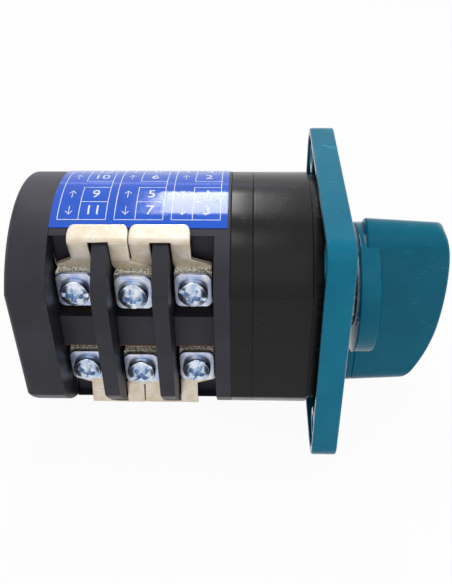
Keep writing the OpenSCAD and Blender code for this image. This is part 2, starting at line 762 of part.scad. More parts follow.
// Outline in Y and Z of one half of a jumper: foot, flare, leg and half the
// flange; dir is the side of the rib that it lies on
module jumper_half(foot_mid, rib_mid, end, dir) {
    inner = foot_mid - dir * term_w / 2;
    outer = foot_mid + dir * term_w / 2;
    slot_edge = rib_mid + dir * jumper_slot / 2;
    web_z = bend_z - 0.4;
    top_z = bend_z + jumper_flange;
    polygon([[inner, foot_z0 - cut], [outer, foot_z0 - cut], [outer, flare_z], [end, flare_z + flare_rise],
        [end, top_z], [rib_mid, top_z], [rib_mid, web_z], [slot_edge, web_z], [slot_edge, flare_z + 0.6],
        [inner, flare_z - 0.4]]);
}

// Cuts the flange's free corner round
module flange_corner(y, dir) {
    r = flange_corner_r;
    z_end = bend_z + jumper_flange * sin(flange_angle);
    along_x(core_hw - cut, bend_u) translate([y - dir * r, z_end - r]) difference() {
        translate([dir > 0 ? 0 : -2 * r, 0]) square(2 * r);
        circle(r);
    }
}

// Thin fibre sheet under the middle block, flush with its face
module insulating_strips() color([0.42, 0.2, 0.12])
    for (side = [left, right], k = [0:sections - 1]) on_side(side)
        translate([core_hw, section_y(k) + rib_t, -block_hh - 0.4])
            cube([block_hw - core_hw - 0.1, window_w, 0.4]);

module rear_cover() color([0.16, 0.15, 0.17]) difference() {
    intersection() {
        turned_y() rear_profile(body_d / 2);
        along_z(-body_d, body_d) for (s = [0, 1]) mirror([s, 0]) rear_profile(flats_w / 2);
    }
    rod_y(rear_journal_d + 2 * ring_band + 3, rear_y - cut, ring_y + ring_t + 0.3);
    rod_y(rear_journal_d + 2 * run_gap, rear_y, rear_y + journal_len + 0.2);
    bolt_holes(rear_y - cut, end_y, bolt_d + 0.3);
    bolt_holes(nut_seat_y, end_y + cut, nut_af + 2);
}

// Half outline of the rear cover, with its rounded outer edge
module rear_profile(half) {
    translate([0, rear_y]) square([half, rear_len - rear_edge_r]);
    translate([0, rear_y]) square([half - rear_edge_r, rear_len]);
    translate([half - rear_edge_r, end_y - rear_edge_r]) circle(rear_edge_r);
}

module through_bolts() color("silver") for (s = [-1, 1]) {
    rod_y(bolt_head_d, bolt_seat_y - bolt_head_h, bolt_seat_y, 0, s * bolt_z);
    rod_y(bolt_d, bolt_seat_y - eps, nut_seat_y + nut_h + 1, 0, s * bolt_z);
}

module bolt_nuts() color("silver") for (s = [-1, 1]) difference() {
    rod_y_hex(nut_af, nut_seat_y, nut_seat_y + nut_h, s * bolt_z);
    rod_y(bolt_d + 0.1, nut_seat_y - cut, nut_seat_y + nut_h + cut, 0, s * bolt_z);
}

module rod_y_hex(across, y0, y1, z) translate([0, y0, z]) rotate([-90, 0, 0])
    cylinder(d = across / cos(30), h = y1 - y0, $fn = 6);

module terminal_label() color([0.08, 0.28, 0.78]) along_y(sections_y + 0.7, rear_y)
    intersection() {
        difference() {
            circle(d = body_d + 2 * label_t);
            circle(d = body_d);
        }
        translate([-body_d / 2, label_edge_z]) square([body_d, body_d / 2]);
    }

front_plate();
plate_screws();
thrust_washer();
knob();
knob_screw();
knob_plug();
shaft();
detent_housing();
detent_cover();
star_wheel();
detent_plunger(left);  // detent_plunger_left
detent_plunger(right);  // detent_plunger_right
detent_spring(left);  // detent_spring_left
detent_spring(right);  // detent_spring_right
section_housing(0);  // section_1
section_housing(1);  // section_2
section_housing(2);  // section_3
cam(0);  // cam_1
cam(1);  // cam_2
cam(2);  // cam_3
contact_plunger(left, 0);  // contact_plunger_1_left
contact_plunger(right, 0);  // contact_plunger_1_right
contact_plunger(left, 1);  // contact_plunger_2_left
contact_plunger(right, 1);  // contact_plunger_2_right
contact_plunger(left, 2);  // contact_plunger_3_left
contact_plunger(right, 2);  // contact_plunger_3_right
contact_bridge(left, 0);  // contact_bridge_1_left
contact_bridge(right, 0);  // contact_bridge_1_right
contact_bridge(left, 1);  // contact_bridge_2_left
contact_bridge(right, 1);  // contact_bridge_2_right
contact_bridge(left, 2);  // contact_bridge_3_left
contact_bridge(right, 2);  // contact_bridge_3_right
return_spring(left, 0);  // return_spring_1_left
return_spring(right, 0);  // return_spring_1_right
return_spring(left, 1);  // return_spring_2_left
return_spring(right, 1);  // return_spring_2_right
return_spring(left, 2);  // return_spring_3_left
return_spring(right, 2);  // return_spring_3_right
fixed_contacts(0);  // fixed_contacts_1
fixed_contacts(1);  // fixed_contacts_2
fixed_contacts(2);  // fixed_contacts_3
terminal_screws();
square_washers();
clamp_plates();
jumper(1, 0, [0, 0], 0.1);  // jumper_upper_front
jumper(1, 1, [1, 0], 0.3);  // jumper_upper_rear
jumper(-1, 0, [0, 0], 0.1);  // jumper_lower_front
jumper(-1, 1, [1, 0], 0.3);  // jumper_lower_rear
insulating_strips();
rear_cover();
through_bolts();
bolt_nuts();
retaining_ring();
terminal_label();
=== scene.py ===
import json
import math

import bmesh
import bpy
import numpy as np
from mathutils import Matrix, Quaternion, Vector

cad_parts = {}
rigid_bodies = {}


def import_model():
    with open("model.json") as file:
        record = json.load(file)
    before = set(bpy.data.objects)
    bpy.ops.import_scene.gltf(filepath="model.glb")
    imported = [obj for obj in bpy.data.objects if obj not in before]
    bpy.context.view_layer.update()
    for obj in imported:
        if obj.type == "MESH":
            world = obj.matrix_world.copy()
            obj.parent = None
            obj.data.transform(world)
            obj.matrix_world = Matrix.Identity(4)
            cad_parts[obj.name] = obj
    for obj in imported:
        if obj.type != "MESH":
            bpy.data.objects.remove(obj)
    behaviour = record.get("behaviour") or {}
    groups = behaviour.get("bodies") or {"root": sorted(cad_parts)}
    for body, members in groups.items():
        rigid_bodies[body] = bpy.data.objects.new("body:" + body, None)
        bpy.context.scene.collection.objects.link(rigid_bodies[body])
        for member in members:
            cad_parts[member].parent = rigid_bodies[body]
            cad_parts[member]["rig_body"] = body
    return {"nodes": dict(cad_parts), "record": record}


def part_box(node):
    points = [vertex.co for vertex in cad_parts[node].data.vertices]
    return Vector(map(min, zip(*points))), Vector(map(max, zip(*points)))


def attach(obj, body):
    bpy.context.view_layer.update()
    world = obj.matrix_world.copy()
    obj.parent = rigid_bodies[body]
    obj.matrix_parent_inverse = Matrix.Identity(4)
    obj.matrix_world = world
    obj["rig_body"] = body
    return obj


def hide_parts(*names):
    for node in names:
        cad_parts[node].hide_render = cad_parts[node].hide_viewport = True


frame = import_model()
bpy.context.view_layer.update()

# Lengths below are in millimetres and are made metres where a mesh is filled
MM = 0.001
BODY = "switch_body"
ROTOR = "rotor"


def span(node):
    """Lowest and highest corner of a CAD node in millimetres."""
    low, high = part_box(node)
    return np.array(low) / MM, np.array(high) / MM


PLATE = span("front_plate")
KNOB = span("knob")
SECTION_Y = [span(f"section_{k}")[0][1] for k in (1, 2, 3)]
REAR = span("rear_cover")
BARREL_R = REAR[1][2]


# Shader helpers

def colour(red, green, blue):
    """Linear colour of display values from 0 to 255."""
    display = np.array([red, green, blue]) / 255
    linear = np.where(display <= 0.04045, display / 12.92, ((display + 0.055) / 1.055) ** 2.4)
    return (*linear.tolist(), 1.0)


class Wire:
    """A shader socket that is used like a number: each operation adds one Math node."""

    def __init__(self, finish, socket):
        self.finish = finish
        self.socket = socket

    def __add__(self, other):
        return self.finish.math("ADD", self, other)

    def __sub__(self, other):
        return self.finish.math("SUBTRACT", self, other)

    def __rsub__(self, other):
        return self.finish.math("SUBTRACT", other, self)

    def __mul__(self, other):
        return self.finish.math("MULTIPLY", self, other)

    __radd__ = __add__
    __rmul__ = __mul__

    def between(self, low, high):
        """0 at low, 1 at high and straight in between."""
        return self.finish.math("MULTIPLY", self - low, 1 / (high - low), clamp=True)


class Finish:
    """A material in the making: a Principled surface and the nodes that feed it."""

    def __init__(self, name, base, roughness, metallic=0.0, **constants):
        self.material = bpy.data.materials.new(name)
        self.material.use_nodes = True
        self.tree = self.material.node_tree
        self.surface = self.tree.nodes["Principled BSDF"]
        self.base = base
        values = {"Base Color": base, "Roughness": roughness, "Metallic": metallic}
        values.update({key.replace("_", " "): value for key, value in constants.items()})
        for socket, value in values.items():
            self.surface.inputs[socket].default_value = value
        self.place = self.node("TexCoord", output="Object")

    def node(self, kind, settings=None, inputs=None, output=0):
        """Adds a node, makes its settings, then fills or links its sockets; returns one output."""
        made = self.tree.nodes.new("ShaderNode" + kind)
        for name, value in (settings or {}).items():
            setattr(made, name, value)
        for name, value in (inputs or {}).items():
            if isinstance(value, Wire):
                self.tree.links.new(value.socket, made.inputs[name])
            else:
                made.inputs[name].default_value = value
        return Wire(self, made.outputs[output])

    def math(self, operation, first, second, clamp=False):
        """One Math node over two numbers or wires."""
        settings = {"operation": operation, "use_clamp": clamp}
        return self.node("Math", settings, {0: first, 1: second})

    def noise(self, size, detail=3.0, stretch=(1, 1, 1), turn=(0, 0, 0), warp=0.0):
        """Noise whose spots are size millimetres wide, longer by stretch along each axis."""
        scale = [1 / (size * MM * part) for part in stretch]
        turned = self.node("Mapping", {"vector_type": "POINT"},
                           {"Vector": self.place, "Rotation": turn})
        spread = self.node("Mapping", {"vector_type": "POINT"}, {"Vector": turned, "Scale": scale})
        return self.node("TexNoise", {"noise_dimensions": "3D"},
                         {"Vector": spread, "Scale": 1.0, "Detail": detail, "Distortion": warp})

    def mix(self, first, second, share):
        """Colour between first and second."""
        return self.node("Mix", {"data_type": "RGBA"}, {0: share, 6: first, 7: second}, output=2)

    def feed(self, socket, wire):
        """Links a wire to a socket of the surface."""
        self.tree.links.new(wire.socket, self.surface.inputs[socket])

    def bump(self, *layers):
        """Raises the surface by each (height, depth in millimetres) in turn."""
        normal = None
        for height, depth in layers:
            inputs = {"Height": height, "Distance": depth * MM, "Strength": 1.0}
            if normal:
                inputs["Normal"] = normal
            normal = self.node("Bump", None, inputs)
        self.feed("Normal", normal)


# Finishes

def scratches(finish, rare=0.7):
    """Sparse thin streaks in two directions, 0 or 1 at each place."""
    streaks = 0.0
    for turn, length in ((0.5, 40), (1.9, 30)):
        line = finish.noise(0.14, 0.0, (1, length, length), (turn, turn * 0.7, turn))
        place = finish.noise(5, 1.0, turn=(0, 0, turn))
        streaks = line.between(rare, rare + 0.02) * place.between(0.58, 0.66) + streaks
    return streaks


def moulded_gloss(name, base, lighter, roughness=0.1):
    """Glossy coloured moulding: faint cloudy tone, soft sink marks and thin handling scratches."""
    finish = Finish(name, base, roughness, Specular_IOR_Level=0.12)
    cloud = finish.noise(14, 3)
    worn = scratches(finish)
    tone = finish.mix(base, lighter, cloud.between(0.35, 0.75) * 0.25)
    finish.feed("Base Color", finish.mix(tone, lighter, worn * 0.5))
    finish.feed("Roughness", cloud * 0.07 + worn * 0.2 + roughness - 0.02)
    finish.bump((finish.noise(5, 1), 0.012), (finish.noise(0.5, 2), 0.0008), (1 - worn, 0.003))
    return finish.material


def black_satin():
    """Matt black moulding: fine spark-eroded grain, dust-grey bloom and a few rubbed places."""
    base, bloom = colour(33, 33, 39), colour(68, 67, 82)
    finish = Finish("black_satin", base, 0.42, Specular_IOR_Level=0.28)
    grain = finish.noise(0.22, 2)
    cloud = finish.noise(11, 4)
    finish.feed("Base Color", finish.mix(base, bloom, cloud.between(0.4, 0.8) * 0.4 + grain * 0.15))
    finish.feed("Roughness", cloud * 0.16 + grain * 0.1 + 0.3)
    finish.bump((cloud, 0.02), (grain, 0.006))
    return finish.material


def black_gloss():
    """Glossy black moulding with slight waviness and fine dust scratches."""
    base, bloom = colour(12, 12, 14), colour(54, 52, 54)
    finish = Finish("black_gloss", base, 0.3, Specular_IOR_Level=0.22)
    cloud = finish.noise(8, 4)
    speck = finish.noise(0.3, 2)
    worn = scratches(finish)
    dust = speck.between(0.58, 0.74) * cloud.between(0.42, 0.6)
    finish.feed("Base Color", finish.mix(base, bloom, dust * 0.25 + worn * 0.2))
    finish.feed("Roughness", cloud * 0.12 + dust * 0.2 + worn * 0.2 + 0.17)
    finish.bump((finish.noise(6, 1), 0.006), (speck, 0.0018), (1 - worn, 0.0015))
    return finish.material


def label_film():
    """Glossy blue film with tiny bubbles, which break its highlight up."""
    base, deep = colour(10, 90, 214), colour(6, 68, 184)
    finish = Finish("label_blue", base, 0.1, Specular_IOR_Level=0.4)
    cloud = finish.noise(7, 2)
    bubble = finish.noise(0.36, 3)
    finish.feed("Base Color", finish.mix(base, deep, cloud.between(0.35, 0.8) * 0.5))
    finish.feed("Roughness", bubble.between(0.4, 0.7) * 0.1 + 0.06)
    finish.bump((cloud, 0.06), (bubble, 0.005))
    return finish.material


def print_white():
    """White ink, a little thin in places."""
    base, thin = colour(238, 242, 250), colour(178, 200, 240)
    finish = Finish("print_white", base, 0.4)
    wear = finish.noise(0.5, 3)
    finish.feed("Base Color", finish.mix(base, thin, wear.between(0.52, 0.7)))
    finish.feed("Roughness", wear * 0.2 + 0.28)
    finish.bump((wear, 0.003))
    return finish.material


def nickel_sheet():
    """Nickel-plated brass sheet: rolled along the switch, with blotches and short scratches."""
    base, warm, dull = colour(234, 223, 207), colour(212, 194, 162), colour(184, 172, 152)
    finish = Finish("nickel_sheet", base, 0.3, metallic=0.55)
    rolled = finish.noise(0.12, 3, (1, 22, 1))
    blotch = finish.noise(2.6, 4)
    scratch = finish.noise(0.1, 1, (1, 1, 40), (0.5, 0, 0))
    toned = finish.mix(base, warm, blotch.between(0.42, 0.7) * 0.7)
    finish.feed("Base Color", finish.mix(toned, dull, rolled.between(0.45, 0.8) * 0.5))
    finish.feed("Roughness", rolled * 0.2 + blotch * 0.3 + 0.08)
    finish.bump((blotch, 0.016), (rolled, 0.005), (scratch.between(0.64, 0.7), 0.003))
    return finish.material


def clamp_steel():
    """Rough zinc on a pressed clamp plate: near-white flecks over a darker straw tone are painted
    glints of its pressed teeth, and the same noise roughens and bumps it.
    """
    base, straw = colour(255, 253, 242), colour(116, 110, 86)
    finish = Finish("clamp_steel", base, 0.3, metallic=0.25)
    tear_and_painted_glints = finish.noise(0.5, 3, (1, 0.7, 1))
    # Near-white flecks are painted glints; the straw tone lies between them
    finish.feed("Base Color", finish.mix(straw, base, tear_and_painted_glints.between(0.41, 0.49)))
    finish.feed("Roughness", tear_and_painted_glints * 0.3 + 0.14)
    finish.bump((tear_and_painted_glints, 0.12), (finish.noise(0.12, 2), 0.012))
    return finish.material


def blue_zinc(name, roughness, tint):
    """Blue-passivated zinc: its film shifts between blue, silver and violet within millimetres."""
    silver, blue, violet = colour(226, 231, 240), colour(*tint), colour(206, 198, 222)
    finish = Finish(name, silver, roughness, metallic=1.0)
    film = finish.noise(2.2, 3)
    stain = finish.noise(0.9, 4, warp=0.6)
    toned = finish.mix(silver, blue, film.between(0.38, 0.6))
    finish.feed("Base Color", finish.mix(toned, violet, stain.between(0.52, 0.72) * 0.6))
    finish.feed("Roughness", stain * 0.22 + roughness - 0.08)
    finish.bump((stain, 0.006), (finish.noise(0.16, 2), 0.002))
    return finish.material


def plain_metal(name, base, roughness, size=0.12):
    """Drawn or turned metal with fine streaks along the switch."""
    finish = Finish(name, base, roughness, metallic=1.0)
    streak = finish.noise(size, 3, (1, 8, 1))
    darker = (*[part * 0.72 for part in base[:3]], 1.0)
    finish.feed("Base Color", finish.mix(base, darker, streak.between(0.4, 0.75)))
    finish.feed("Roughness", streak * 0.22 + roughness - 0.08)
    finish.bump((streak, 0.003))
    return finish.material


def plain_moulding(name, base, roughness, size=0.6):
    """Natural plastic or fibre with a faint grain."""
    finish = Finish(name, base, roughness)
    grain = finish.noise(size, 4)
    darker = (*[part * 0.78 for part in base[:3]], 1.0)
    finish.feed("Base Color", finish.mix(base, darker, grain.between(0.35, 0.75)))
    finish.feed("Roughness", grain * 0.2 + roughness - 0.1)
    finish.bump((grain, 0.01))
    return finish.material


FINISH = {
    "knob_plastic": moulded_gloss("knob_teal", colour(0, 98, 124), colour(36, 140, 158)),
    "plate_plastic": moulded_gloss("plate_teal", colour(0, 110, 141), colour(36, 148, 170)),
    "housing_plastic": black_gloss(),
    "section_plastic": black_satin(),
    "cam_plastic": plain_moulding("natural_plastic", colour(226, 220, 200), 0.4),
    "contact_brass": plain_metal("contact_brass", colour(214, 182, 118), 0.34),
    "jumper_nickel": nickel_sheet(),
    "screw_zinc": blue_zinc("screw_zinc", 0.22, (166, 192, 220)),
    "washer_zinc": blue_zinc("washer_zinc", 0.36, (188, 200, 232)),
    "clamp_zinc": clamp_steel(),
    "steel": plain_metal("bright_steel", colour(196, 198, 202), 0.3),
    "spring_steel": plain_metal("spring_steel", colour(140, 140, 146), 0.36),
    "fibre": plain_moulding("red_fibre", colour(86, 50, 36), 0.6, 0.3),
    "label_film": label_film(),
    "print": print_white(),
}


# Shapes as arrays of points in millimetres

def unit(vectors):
    """Vectors divided by their lengths."""
    return vectors / np.linalg.norm(vectors, axis=-1, keepdims=True)


def outline(corners, step=12):
    """Closed outline through corners (a, b, radius): each corner is an arc of that radius that
    touches both of its sides, with a point every step degrees."""
    at = np.array([corner[:2] for corner in corners], float)
    arcs = []
    for i, (_, _, radius) in enumerate(corners):
        before = unit(at[i - 1] - at[i])
        after = unit(at[(i + 1) % len(at)] - at[i])
        if radius <= 0:
            arcs.append(at[i][None])
            continue
        half = math.acos(np.clip(before @ after, -1, 1)) / 2
        centre = at[i] + unit(before + after) * radius / math.sin(half)
        start = at[i] + before * radius / math.tan(half) - centre
        end = at[i] + after * radius / math.tan(half) - centre
        first = math.atan2(start[1], start[0])
        sweep = (math.atan2(end[1], end[0]) - first + math.pi) % (2 * math.pi) - math.pi
        turn = first + sweep * np.linspace(0, 1, max(2, round(abs(sweep) / math.radians(step)) + 1))
        arcs.append(centre + radius * np.stack([np.cos(turn), np.sin(turn)], 1))
    return np.concatenate(arcs)


def rectangle(width, height, radius, centre=(0, 0)):
    """Anticlockwise rectangle with round corners."""
    signs = ((1, 1), (-1, 1), (-1, -1), (1, -1))
    return outline([(centre[0] + a * width / 2, centre[1] + b * height / 2, radius)
                    for a, b in signs])


def inset(points, distance):
    """Every point of an anticlockwise outline moved inwards along the mean of the normals of
    its two sides, far enough that each side moves by distance."""
    side = unit(np.roll(points, -1, 0) - points)
    normal = np.stack([-side[:, 1], side[:, 0]], 1)
    before = np.roll(normal, 1, 0)
    mitre = (normal + before) / (1 + (normal * before).sum(1, keepdims=True))
    return points + distance * mitre


def circle(radius, count=64):
    """Points round a circle, anticlockwise."""
    turn = np.arange(count) * 2 * math.pi / count
    return radius * np.stack([np.cos(turn), np.sin(turn)], 1)


def quads(rows, columns, close_rows=False):
    """Faces between neighbouring rows and columns of a grid of points whose last column meets the
    first."""
    i = np.arange(rows if close_rows else rows - 1)[:, None]
    j = np.arange(columns)[None, :]
    above, beside = (i + 1) % rows, (j + 1) % columns
    corners = [i * columns + j, i * columns + beside, above * columns + beside, above * columns + j]
    return np.stack(np.broadcast_arrays(*corners), -1).reshape(-1, 4).tolist()


def lofted(rings):
    """Closed skin through rings of equal length, with a flat face on the first and the last."""
    rows, columns, _ = rings.shape
    ends = [list(range(columns))[::-1], list(range((rows - 1) * columns, rows * columns))]
    return rings.reshape(-1, 3), quads(rows, columns) + ends


def rolled(low, high, edge, steps=3):
    """Heights and insets of a wall from low to high whose two rims are quarter circles."""
    turn = np.linspace(0, math.pi / 2, steps + 1)
    rise, drawn = edge * (1 - np.cos(turn)), edge * (1 - np.sin(turn))
    return np.r_[low + rise, high - rise[::-1]], np.r_[drawn, drawn[::-1]]


def at_height(points, height):
    """Flat points (a, b) with a third number, the height of their plane."""
    return np.column_stack([points, np.full(len(points), height)])


def slab(points, low, high, edge):
    """Outline carried from low to high and drawn in by a quarter circle at both rims."""
    heights, insets = rolled(low, high, edge)
    return lofted(np.array([at_height(inset(points, d), h) for h, d in zip(heights, insets)]))


def pierced(points, hole, low, high, edge):
    """Slab with a round hole: the outer wall's rings, then the hole's rings from high to low,
    joined into one endless skin. Each point of the hole lies towards its outer point."""
    heights, insets = rolled(low, high, edge)
    towards = unit(points) * hole
    rings = [at_height(inset(points, d), h) for h, d in zip(heights, insets)]
    rings += [at_height(towards * (1 + edge / hole), high), at_height(towards, high - edge),
              at_height(towards, low + edge), at_height(towards * (1 + edge / hole), low)]
    rings = np.array(rings)
    return rings.reshape(-1, 3), quads(len(rings), len(points), close_rows=True)


def turned(profile, count=64):
    """Profile of (radius, height) turned about the height's axis; a radius of 0 closes a pole."""
    radius, height = np.array(profile, float).T
    ring = circle(1, count)
    points = np.concatenate([radius[:, None, None] * ring[None],
                             np.broadcast_to(height[:, None, None], (len(radius), count, 1))], 2)
    return points.reshape(-1, 3), quads(len(radius), count)


def joined(parts):
    """Several (points, faces) as one."""
    points, faces, count = [], [], 0
    for some_points, some_faces in parts:
        points.append(some_points)
        faces += [[index + count for index in face] for face in some_faces]
        count += len(some_points)
    return np.concatenate(points), faces


def moved(part, place):
    """Part with its points sent through the function place."""
    return place(part[0]), part[1]


def out_of(side, row, at_y, at_z):
    """Place for pieces drawn flat in (Y, Z) with their height along +X: shifted to a terminal,
    then mirrored to the left for side -1 and to the lower row for row -1."""
    def place(points):
        """Points (a, b, height) at their terminal."""
        return np.column_stack([side * points[:, 2], points[:, 0] + at_y,
                                row * (points[:, 1] + at_z)])
    return place


def along_y(points):
    """Place for pieces drawn flat in (X, Z) with their height along +Y."""
    return points[:, [0, 2, 1]]


# Objects

def mesh_object(name, points, faces):
    """New object of the scene from points in millimetres and faces."""
    mesh = bpy.data.meshes.new(name)
    mesh.from_pydata((np.asarray(points) * MM).tolist(), [], faces)
    made = bpy.data.objects.new(name, mesh)
    bpy.context.scene.collection.objects.link(made)
    return made


def cleaned(target, smooth=35, outward=False):
    """Merges doubles, points every face outwards unless they already do, and shades all but sharp
    edges smooth."""
    work = bmesh.new()
    work.from_mesh(target.data)
    bmesh.ops.remove_doubles(work, verts=work.verts, dist=1e-7)
    bmesh.ops.dissolve_degenerate(work, dist=1e-8, edges=work.edges)
    if not outward:
        bmesh.ops.recalc_face_normals(work, faces=work.faces)
    work.to_mesh(target.data)
    work.free()
    target.data.shade_smooth()
    target.data.set_sharp_from_angle(angle=math.radians(smooth))
    return target


def with_modifier(target, kind, **settings):
    """Adds a modifier and applies it to the mesh."""
    modifier = target.modifiers.new(kind.lower(), kind)
    for name, value in settings.items():
        setattr(modifier, name, value)
    view = bpy.context.evaluated_depsgraph_get()
    mesh = bpy.data.meshes.new_from_object(target.evaluated_get(view))
    target.modifiers.clear()
    target.data = mesh
    return target


def levelled(target):
    """Points the normals of large faces straight out, so that rolled edges alone look round."""
    return with_modifier(target, "WEIGHTED_NORMAL", keep_sharp=True)


def rounded(target, width, segments=2, angle=32):
    """Rolls every outward edge sharper than angle over by width millimetres. Inner corners stay as
    they are, because a fillet there would meet the pieces that slide in them."""
    work = bmesh.new()
    work.from_mesh(target.data)
    weight = work.edges.layers.float.new("bevel_weight_edge")
    for edge in work.edges:
        edge[weight] = edge.is_convex and edge.calc_face_angle(0) > math.radians(angle)
    work.to_mesh(target.data)
    work.free()
    return with_modifier(target, "BEVEL", width=width * MM, segments=segments,
                         limit_method="WEIGHT", use_clamp_overlap=False)


def carved(target, tool, operation="DIFFERENCE"):
    """Cuts a tool object out of the target, or joins it on, and removes the tool."""
    cleaned(tool)
    with_modifier(target, "BOOLEAN", object=tool, operation=operation, solver="EXACT")
    bpy.data.objects.remove(tool)
    return target


def finished(target, body, slot, nodes, finish=None):
    """Gives a piece the material of its slot or of a named finish, hangs it on the body that
    carries it and hides the CAD nodes it stands for."""
    target.data.materials.clear()
    target.data.materials.append(FINISH[finish or slot])
    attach(target, body)
    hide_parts(*nodes)
    return target


def softened(node, width, segments=2):
    """Copy of a CAD node with its double points merged and its sharp outward edges rolled over,
    riding where the node rides."""
    source = frame["nodes"][node]
    work = bmesh.new()
    work.from_mesh(source.data)
    bmesh.ops.remove_doubles(work, verts=work.verts, dist=1e-6)
    work.verts.index_update()
    points = np.array([vertex.co for vertex in work.verts]) / MM
    faces = [[vertex.index for vertex in face.verts] for face in work.faces]
    work.free()
    target = rounded(mesh_object(node + "_moulded", points, faces), width, segments)
    levelled(cleaned(target, outward=True))
    slot = next(part["material_slot"] for part in frame["record"]["subparts"]
                if part["node"] == node)
    return finished(target, source["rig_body"], slot, [node])


# Housings

def housings():
    """The mouldings keep the CAD forms and get the rolled edges of their mould."""
    softened("front_plate", 0.45, segments=3)
    for node in ("detent_housing", "detent_cover"):
        softened(node, 0.22)
    for node in ("section_1", "section_2", "section_3"):
        softened(node, 0.25)
    softened("rear_cover", 0.25)


# Knob

DISC_R = 17.0
BAR_TOP = 20.0
BAR_BACK_Y = KNOB[1][1] - 1.7
POINTER_BACK_Y = KNOB[1][1] - 0.2
BAR_W = 12.0
BAR_CROWN_W = 10.8
BAR_DRAFT = 1.3
CROWN_R = 95.0
CROWN_FLAT = 9.0
CROWN_END_R = 47.0
CROWN_SHIFT = 0.5
CORNER_R = 3.8
BAR_EDGE = 0.9
DISC_T = 5.0
DISC_BACK_EDGE = 0.5
DISC_FRONT_EDGE = 0.8
KNOB_SCREW_HEAD_H = 2.6
SOCKET_W = 7.1
SOCKET_CORNER = 1.1


def crown(z):
    """Y of the bar's crown at a height z: a middle arc, two outer arcs that start in its
    direction, and at the short end a corner arc that starts in the outer arc's direction."""
    front = KNOB[0][1]
    turn = math.asin(CROWN_FLAT / CROWN_R)
    end_y = front + CROWN_R - (CROWN_R - CROWN_END_R) * math.cos(turn)
    end_z = (CROWN_R - CROWN_END_R) * math.sin(turn)
    arc_top = CROWN_SHIFT + end_z
    corner_z = BAR_TOP - BAR_DRAFT / 2 - CORNER_R
    reach = CROWN_END_R - CORNER_R
    corner_y = end_y - math.sqrt(reach ** 2 - (corner_z - arc_top) ** 2)
    touch_z = arc_top + (corner_z - arc_top) * CROWN_END_R / reach

    def arc(at_y, at_z, radius):
        """Y of the front of a circle, held just inside its upper and lower ends."""
        return at_y - np.sqrt(radius ** 2 - np.clip(z - at_z, -radius * 0.995, radius * 0.995) ** 2)

    flat = arc(front + CROWN_R, CROWN_SHIFT, CROWN_R)
    upper = arc(end_y, arc_top, CROWN_END_R)
    lower = arc(end_y, CROWN_SHIFT - end_z, CROWN_END_R)
    corner = arc(corner_y, corner_z, CORNER_R)
    return np.select([z > touch_z, z > CROWN_SHIFT + CROWN_FLAT, z < CROWN_SHIFT - CROWN_FLAT],
                     [corner, upper, lower], flat)


def knob_bar():
    """Grid of (row, place round the bar). The plan is two half circles joined by straights,
    narrower and shorter towards the crown. Rows climb the wall, follow a quarter circle over
    the edge, and run over the crown to the middle line."""
    arc, straight = 28, 40
    swing = np.r_[np.linspace(0, math.pi, arc), np.full(straight, math.pi),
                  np.linspace(math.pi, 2 * math.pi, arc), np.full(straight, 2 * math.pi)]
    share = np.r_[np.zeros(arc), np.linspace(0, 1, straight + 2)[1:-1],
                  np.ones(arc), np.linspace(1, 0, straight + 2)[1:-1]]
    front, back = KNOB[0][1], BAR_BACK_Y

    def plan(y, drawn, part=0.0):
        """X and Z round the bar at y, drawn in by a distance and then by a part of its width."""
        rise = (back - y) / (back - front)
        half = (BAR_W + (BAR_CROWN_W - BAR_W) * rise) / 2
        top = BAR_TOP - BAR_DRAFT * rise - half
        bottom = KNOB[0][2] + BAR_DRAFT * rise + half
        reach = (half - drawn) * (1 - part)
        return reach * np.cos(swing), top + (bottom - top) * share + reach * np.sin(swing)

    def settled(drawn, below, part=0.0):
        """Row whose every point lies below the crown by a distance: its y and plan are worked
        out in turn until they agree."""
        y = np.full(len(swing), front + 2.0)
        for _ in range(6):
            x, z = plan(y, drawn, part)
            y = crown(z) + below
        return x, y, z

    rows = []
    rim_y = settled(0, BAR_EDGE)[1]
    for rise in np.r_[0, 0.02, np.linspace(0.08, 1, 12)]:
        y = back + (rim_y - back) * rise
        x, z = plan(y, 0.35 * (1 - min(rise / 0.02, 1)))
        rows.append((x, y, z))
    for turn in np.linspace(0, math.pi / 2, 7)[1:]:
        rows.append(settled(BAR_EDGE * (1 - math.cos(turn)), BAR_EDGE * (1 - math.sin(turn))))
    for part in np.linspace(0, 1, 9)[1:]:
        rows.append(settled(BAR_EDGE, 0, part))
    rings = np.array([np.column_stack(row) for row in rows])
    bottom = [list(range(len(swing)))[::-1]]
    return rings.reshape(-1, 3), quads(len(rings), len(swing)) + bottom


def knob():
    """Bar and disc as one moulding, bored for the plug and the shaft's end."""
    radius, back = DISC_R, KNOB[1][1]
    bar = cleaned(mesh_object("knob_moulding", *knob_bar()))
    half = BAR_W / 2
    pointer = outline([(half, 0, 0), (-half, 0, 0), (-half, KNOB[0][2], half * 0.995),
                       (half, KNOB[0][2], half * 0.995)], 7)
    tail = mesh_object("tail_tool", *moved(slab(pointer, BAR_BACK_Y - 0.01, POINTER_BACK_Y, 0.3),
                                           along_y))
    carved(bar, tail, "UNION")
    front = back - DISC_T
    profile = [(0, back), (radius - DISC_BACK_EDGE, back), (radius - 0.15, back - 0.15),
               (radius, back - DISC_BACK_EDGE), (radius, front + DISC_FRONT_EDGE),
               (radius - 0.22, front + 0.25), (radius - DISC_FRONT_EDGE, front), (0, front)]
    disc = mesh_object("disc_tool", *moved(turned(profile, 128), along_y))
    carved(bar, disc, "UNION")
    plug = span("knob_plug")
    bore = mesh_object("bore_tool", *moved(slab(circle(plug[1][0] + 0.1), KNOB[0][1] - 1,
                                                span("knob_screw")[0][1] + KNOB_SCREW_HEAD_H,
                                                0.01), along_y))
    carved(bar, bore)
    square = rectangle(SOCKET_W, SOCKET_W, SOCKET_CORNER)
    socket = mesh_object("socket_tool", *moved(slab(square, span("shaft")[0][1], back + 1, 0.01),
                                               along_y))
    carved(bar, socket)
    finished(levelled(cleaned(bar)), ROTOR, "knob_plastic", ["knob"])
    softened("knob_plug", 0.15)


# Terminals

